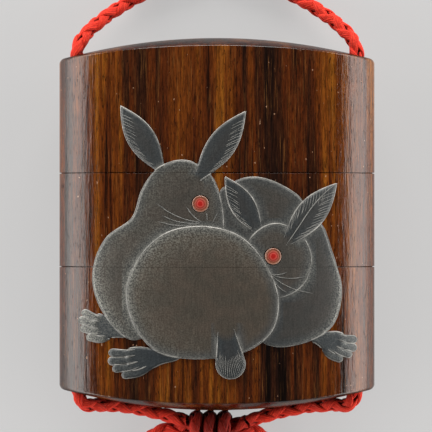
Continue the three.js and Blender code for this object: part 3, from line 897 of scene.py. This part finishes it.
def ear_fold(root, tip, width, side):
    """The edge of the fold along one side of an ear."""
    root, tip, _, across = aimed(root, tip)
    points = [root + t * (tip - root) + shift * across * side * width
              for t, shift in ((0.06, -0.06), (0.3, 0.02), (0.6, 0.12), (0.85, 0.09), (0.97, 0.0))]
    return smooth_line(points, spacing=0.25)


def tail_hairs(root, end, radius, **_):
    """Hairs that run down the tail and fan out over its round end."""
    root, end = np.array(root, float), np.array(end, float)
    heading = math.atan2(end[1] - root[1], end[0] - root[0])
    hairs = []
    for turn in np.linspace(-1.6, 1.6, 19):
        tip = end + radius * 0.92 * np.array([math.cos(heading + turn), math.sin(heading + turn)])
        start = root + (tip - root) * rng.uniform(0.56, 0.66)
        bend = (start + tip) / 2 + (end - tip) * 0.06
        hairs.append(smooth_line([start, bend, tip], spacing=0.15))
    return hairs


LEFT_CHEEK = (-2.9, 0.3)
RIGHT_CHEEK = (10.8, -10.3)
WHISKERS = [
    # root, heading in degrees, length, bend
    (LEFT_CHEEK, 157, 10.5, 1), (LEFT_CHEEK, 170, 8.6, 1), (LEFT_CHEEK, 178, 9.4, 1),
    (LEFT_CHEEK, 135, 4.8, 1), ((-0.9, 0.4), 62, 2.2, 0), ((-2.0, 0.8), 95, 1.5, 0),
    (RIGHT_CHEEK, 6, 3.6, -1), (RIGHT_CHEEK, -4, 7.4, -1), (RIGHT_CHEEK, -24, 9.8, -1),
    (RIGHT_CHEEK, -47, 5.4, -1),
]


def whisker(root, heading, length, bend):
    angle = math.radians(heading)
    along = np.array([math.cos(angle), math.sin(angle)])
    across = np.array([-along[1], along[0]])
    points = [np.array(root) + along * length * t + across * bend * 0.08 * length * (t - t * t) * 4
              for t in (0, 0.33, 0.67, 1)]
    return smooth_line(points, spacing=0.25)


def split_at_seams(line):
    """The parts of a line on each tier, by the tier's relief node."""
    tiers = {
        "lid_relief": (LID_SEAM, HALF_HEIGHT),
        "middle_tray_relief": (TRAY_SEAM, LID_SEAM),
        "bottom_tray_relief": (-HALF_HEIGHT, TRAY_SEAM),
    }
    for node, (low, high) in tiers.items():
        on_tier = (line[:, 1] > low + 0.05) & (line[:, 1] < high - 0.05)
        for a, b in stretches(on_tier):
            yield node, line[a:b]


def toned(line, tone):
    return np.column_stack([line, np.full(len(line), tone)])


def add_line_work(pale):
    """Rims, hairs and whiskers, one piece to a tier."""
    strokes = [(line, 0.14) for line in rim_lines()]
    strokes += [(toned(hair, 0.34), 0.05) for hair in tail_hairs(**TAIL)]
    sides = {"back_left": [1], "back_right": [-1], "right_left": [1], "right_right": [1, -1]}
    for name, hairy in sides.items():
        for side in hairy:
            strokes += [(toned(hair, 0.42), 0.055) for hair in ear_hairs(**EARS[name], side=side)]
    strokes.append((toned(ear_fold(**EARS["right_right"], side=1), 0.45), 0.1))
    strokes += [(toned(whisker(*values), 0.36), 0.1) for values in WHISKERS]
    by_tier = {}
    for line, radius in strokes:
        for node, part in split_at_seams(line):
            by_tier.setdefault(node, []).append((part, radius))
    for node, parts in by_tier.items():
        tubes = [stroke_tube(line[:, :2], radius) for line, radius in parts]
        piece = bundle(node + "_lines", tubes, STROKE_SIDES)
        tones = np.concatenate([line[:, 2] for line, _ in parts])
        set_attributes(piece, tone=np.repeat(tones, STROKE_SIDES))
        finish(piece, None, pale)


def add_eye(node, inlay):
    """A cabochon: a raised ring round a domed middle."""
    profile = [(1.0, -EYE_SUNK), (1.0, 0.26), (0.985, 0.33), (0.94, 0.37), (0.88, 0.38), (0.84, 0.34),
               (0.79, 0.31), (0.7, 0.36), (0.58, 0.41), (0.45, 0.45), (0.3, 0.48), (0.15, 0.50)]
    rings = [level_ring(share * EYE_RADIUS, height, EYE_SIDES) for share, height in profile]
    points, faces = skinned(rings, np.array([0, 0, -EYE_SUNK]), np.array([0, 0, 0.505]))
    lift = EYE_LIFTS[node]
    piece = new_mesh(node + "_bead", stood_on_front(points + (0, 0, lift), node), faces, smooth_below=50)
    set_attributes(piece, radius=np.linalg.norm(points[:, :2], axis=1))
    finish(piece, node, inlay)


def add_relief(lacquer_material, pale, inlay):
    for node in ("lid_relief", "middle_tray_relief", "bottom_tray_relief"):
        finish(relief_skin(node + "_skin", node), node, lacquer_material)
    add_line_work(pale)
    for node in EYES:
        add_eye(node, inlay)


# ---- Materials ----
class Shader:
    """A material's node tree, built by short calls."""

    def __init__(self, name):
        self.material = bpy.data.materials.new(name)
        self.material.use_nodes = True
        self.tree = self.material.node_tree
        self.surface = self.tree.nodes["Principled BSDF"]

    def add(self, kind, values=None, **settings):
        node = self.tree.nodes.new("ShaderNode" + kind)
        for key, value in settings.items():
            setattr(node, key, value)
        for key, value in (values or {}).items():
            self.put(node.inputs[key], value)
        return node

    def put(self, socket, value):
        if isinstance(value, bpy.types.NodeSocket):
            self.tree.links.new(value, socket)
        else:
            socket.default_value = value

    def set(self, **values):
        for key, value in values.items():
            self.put(self.surface.inputs[key.replace("_", " ")], value)

    def millimetres(self, scale, shift):
        """The point on the object in millimetres, scaled."""
        place = self.add("TexCoord").outputs["Object"]
        mapping = self.add("Mapping", {"Vector": place, "Location": shift})
        mapping.inputs["Scale"].default_value = [s / MM for s in scale]
        return mapping.outputs["Vector"]

    def noise(self, scale, shift=(0, 0, 0), detail=2.0, roughness=0.5, distortion=0.0):
        """Noise whose scale is in turns to a millimetre, along each axis."""
        values = {"Vector": self.millimetres(scale, shift), "Scale": 1.0, "Detail": detail,
                  "Roughness": roughness, "Distortion": distortion}
        return self.add("TexNoise", values).outputs["Fac"]

    def attribute(self, name):
        return self.add("Attribute", attribute_name=name).outputs["Fac"]

    def ramp(self, value, stops):
        """A colour ramp. A stop is a place and a colour or a grey."""
        node = self.add("ValToRGB", {"Fac": value})
        ramp = node.color_ramp
        while len(ramp.elements) < len(stops):
            ramp.elements.new(1.0)
        for element, (place, colour) in zip(ramp.elements, stops):
            element.position = place
            grey = isinstance(colour, (int, float))
            element.color = (colour,) * 3 + (1,) if grey else (*colour, 1)
        return node.outputs["Color"]

    def math(self, operation, a, b=0.0):
        return self.add("Math", {0: a, 1: b}, operation=operation).outputs[0]

    def times(self, a, b):
        return self.math("MULTIPLY", a, b)

    def tint(self, colour, by):
        return self.mix(1.0, colour, by, "MULTIPLY")

    def between(self, value, low, high, to_low=0.0, to_high=1.0):
        values = {"Value": value, "From Min": low, "From Max": high,
                  "To Min": to_low, "To Max": to_high}
        return self.add("MapRange", values, clamp=True, interpolation_type="SMOOTHSTEP").outputs[0]

    def mix(self, share, a, b, blend="MIX"):
        node = self.add("Mix", data_type="RGBA", blend_type=blend)
        self.put(node.inputs["Factor"], share)
        for socket, value in ((node.inputs[6], a), (node.inputs[7], b)):
            self.put(socket, (*value, 1) if isinstance(value, tuple) else value)
        return node.outputs[2]

    def bump(self, height, strength, distance):
        values = {"Height": height, "Strength": strength, "Distance": distance * MM}
        self.set(Normal=self.add("Bump", values).outputs["Normal"])


def wood_material():
    """Polished rosewood: dark and orange-brown streaks along the case, fine pores, a glossy coat."""
    s = Shader("polished_rosewood")
    broad = s.noise((0.15, 0.007, 0.15), detail=3, roughness=0.5, distortion=0.4)
    streaks = s.noise((0.75, 0.018, 0.75), (3, 0, 0), detail=4, roughness=0.6, distortion=0.3)
    fibres = s.noise((3.4, 0.26, 3.4), detail=5, roughness=0.8)
    dashes = s.noise((4.2, 0.55, 4.2), (9, 4, 0), detail=2, roughness=0.7)
    tone = s.math("ADD", s.times(broad, 0.62), s.times(streaks, 0.38))
    colour = s.ramp(tone, [
        (0.38, (0.010, 0.004, 0.0026)),
        (0.45, (0.032, 0.009, 0.0032)),
        (0.51, (0.070, 0.015, 0.0030)),
        (0.57, (0.125, 0.031, 0.0038)),
        (0.63, (0.220, 0.072, 0.0075)),
    ])
    colour = s.tint(colour, s.ramp(fibres, [(0.34, 0.18), (0.66, 1.66)]))
    threads = s.noise((4.6, 0.10, 4.6), (2, 5, 0), detail=3, roughness=0.7)
    colour = s.mix(s.between(threads, 0.56, 0.72, 0.0, 0.55), colour, (0.25, 0.105, 0.028))
    colour = s.tint(colour, s.ramp(streaks, [(0.33, 0.35), (0.41, 1.0)]))
    pores = s.between(dashes, 0.60, 0.70)
    colour = s.mix(pores, colour, (0.010, 0.004, 0.003))
    specks = s.noise((2.2, 1.3, 2.2), (1, 7, 0), detail=0)
    colour = s.mix(s.between(specks, 0.845, 0.87), colour, (0.36, 0.20, 0.12))
    facing = s.add("SeparateXYZ", {"Vector": s.add("TexCoord").outputs["Normal"]}).outputs["Y"]
    end_grain = s.between(s.math("ABSOLUTE", facing), 0.35, 0.85)
    colour = s.mix(end_grain, colour, s.tint(colour, (0.5, 0.5, 0.5)))
    shine = s.math("SUBTRACT", 1.0, s.times(pores, 0.7))
    shine = s.math("SUBTRACT", shine, s.times(end_grain, 0.6))
    s.set(Base_Color=colour, Roughness=0.5, Specular_IOR_Level=0.0)
    s.set(Coat_Weight=shine, Coat_Roughness=0.035, Coat_IOR=1.52)
    ripple = s.noise((1.1, 0.12, 1.1), (5, 0, 0), detail=3, roughness=0.6)
    s.bump(s.math("ADD", ripple, s.times(fibres, 0.3)), 0.8, 0.07)
    s.put(s.surface.inputs["Coat Normal"], s.surface.inputs["Normal"].links[0].from_socket)
    return s.material


def lacquer_material():
    """Silver-grey raised lacquer: warm inside, bluish near the rims, pale at the flanks and crests from
    dust and painted light.
    """
    s = Shader("silver_grey_lacquer")
    rim, cool = s.attribute("rim"), s.attribute("cool")
    grain = s.noise((3.4, 3.4, 3.4), detail=3, roughness=0.7)
    cloud = s.noise((0.3, 0.3, 0.3), detail=3)
    threads = s.noise((4.5, 0.35, 4.5), detail=2)
    inner = s.mix(s.between(cloud, 0.35, 0.65), (0.066, 0.057, 0.045), (0.078, 0.063, 0.049))
    edge = s.times(s.between(rim, 2.6, 0.2), 0.75)
    colour = s.mix(edge, inner, (0.055, 0.062, 0.065))
    colour = s.mix(cool, colour, (0.026, 0.034, 0.040))
    glow = s.times(s.between(rim, 0.8, 0.05, 0.0, 0.5), s.math("SUBTRACT", 1.0, cool))
    colour = s.mix(glow, colour, (0.24, 0.24, 0.225))
    # pale dust together with painted light on the lit flanks and crests
    dust = s.times(s.attribute("dust"), s.between(grain, 0.40, 0.60))
    colour = s.mix(dust, colour, (0.30, 0.30, 0.26))
    colour = s.tint(colour, s.ramp(grain, [(0.3, 0.72), (0.7, 1.28)]))
    colour = s.tint(colour, s.ramp(threads, [(0.35, 0.88), (0.65, 1.12)]))
    s.set(Base_Color=colour, Roughness=0.4, Metallic=0.1, Specular_IOR_Level=0.4)
    s.bump(grain, 0.35, 0.04)
    return s.material


def pale_line_material():
    """The paler lacquer of the rims and hairs."""
    s = Shader("pale_silver_lines")
    wear = s.noise((0.45, 0.45, 0.45), detail=4, roughness=0.65)
    level = s.times(s.attribute("tone"), s.between(wear, 0.32, 0.66, 0.45, 1.0))
    colour = s.ramp(level, [(0.15, (0.085, 0.088, 0.083)), (1.05, (0.60, 0.59, 0.55))])
    s.set(Base_Color=colour, Roughness=0.4, Metallic=0.1)
    return s.material


def inlay_material():
    """A red middle with amber and pinkish rings; the pink ring next to the middle is a painted
    highlight.
    """
    s = Shader("red_inlay")
    share = s.math("DIVIDE", s.attribute("radius"), EYE_RADIUS)
    cloud = s.noise((1.3, 1.3, 1.3), detail=3)
    shifted = s.math("ADD", share, s.times(s.math("SUBTRACT", cloud, 0.5), 0.2))
    colour = s.ramp(shifted, [
        (0.24, (0.40, 0.016, 0.012)),
        # painted highlight: the pink ring round the red middle
        (0.36, (0.56, 0.085, 0.065)),
        (0.50, (0.26, 0.022, 0.015)),
        (0.62, (0.42, 0.110, 0.075)),
        (0.74, (0.22, 0.060, 0.032)),
        (0.84, (0.27, 0.095, 0.055)),
        (0.95, (0.36, 0.20, 0.145)),
    ])
    s.set(Base_Color=colour, Roughness=0.22, Coat_Weight=0.4, Coat_Roughness=0.08)
    return s.material


def silk_material():
    """Bright red braided silk: fine threads along each strand, with painted shade between the strands
    and wherever little open space is round the cord.
    """
    s = Shader("red_braided_silk")
    along, around, depth = s.attribute("along"), s.attribute("around"), s.attribute("depth")
    twisted = s.math("ADD", s.times(around, 11.0), s.times(along, 0.5))
    threads = s.math("SINE", s.times(twisted, 2 * math.pi))
    fuzz = s.noise((3.0, 3.0, 3.0), detail=3)
    colour = s.mix(s.between(fuzz, 0.35, 0.65), (0.76, 0.028, 0.013), (0.93, 0.058, 0.024))
    colour = s.mix(s.between(threads, -1.0, 1.0, 0.6, 0.0), colour, (0.36, 0.010, 0.007))
    # painted shade in the hollows between the strands
    colour = s.mix(s.between(depth, 1.2, 0.7), colour, (0.20, 0.007, 0.005))
    # painted shade darkens the knot
    colour = s.mix(s.times(s.attribute("worn"), 0.8), colour, (0.16, 0.010, 0.006))
    # painted shade: darker where ambient occlusion finds little open space round the cord
    open_sides = s.add("AmbientOcclusion", {"Distance": 5 * MM}, samples=4).outputs["AO"]
    colour = s.tint(colour, s.ramp(open_sides, [(0.1, 0.42), (0.75, 1.0)]))
    s.set(Base_Color=colour, Roughness=0.6, Specular_IOR_Level=0.15)
    s.set(Sheen_Weight=0.06, Sheen_Roughness=0.4)
    s.bump(threads, 0.4, 0.07)
    return s.material


# ---- Surroundings, in metres ----
FLOOR_HALF = 2.0


def add_floor():
    mesh = bpy.data.meshes.new("floor")
    corners = [(-1, -1), (1, -1), (1, 1), (-1, 1)]
    mesh.from_pydata([(FLOOR_HALF * x, FLOOR_HALF * y, 0) for x, y in corners], [], [(0, 1, 2, 3)])
    floor = new_object("floor", mesh)
    s = Shader("pale_floor")
    s.set(Base_Color=(0.22, 0.22, 0.22, 1), Roughness=0.25, Specular_IOR_Level=0.6)
    s.set(Emission_Color=(1.0, 1.0, 1.0, 1), Emission_Strength=0.44)
    mesh.materials.append(s.material)


def add_world():
    """A dim room, so that the polished front stays dark."""
    world = bpy.data.worlds.new("studio")
    bpy.context.scene.world = world
    world.use_nodes = True
    background = world.node_tree.nodes["Background"]
    background.inputs["Color"].default_value = (1.0, 1.0, 1.0, 1)
    background.inputs["Strength"].default_value = 0.05


def add_light(name, place, size, power):
    """A soft upright panel that faces the case."""
    data = bpy.data.lights.new(name, "AREA")
    data.shape = "RECTANGLE"
    data.size, data.size_y = size
    data.energy = power
    data.color = (1.0, 0.97, 0.94)
    light = new_object(name, data)
    light.location = place
    aim = Vector((-place[0], -place[1], 0))
    light.rotation_euler = aim.to_track_quat("-Z", "Y").to_euler()


def main():
    bpy.context.scene.view_settings.view_transform = "Standard"
    add_camera()
    add_cord(silk_material())
    add_tiers(wood_material())
    add_relief(lacquer_material(), pale_line_material(), inlay_material())
    add_floor()
    add_world()
    # two wide panels beside the case, from the floor to 33 degrees up, and a smaller one past the lid
    add_light("left_panel", (-0.9, 0, 0.3), (2.6, 0.58), 22)
    add_light("right_panel", (0.9, 0, 0.3), (2.6, 0.58), 22)
    add_light("lid_panel", (0, 1.1, 0.45), (0.9, 0.5), 14)


main()
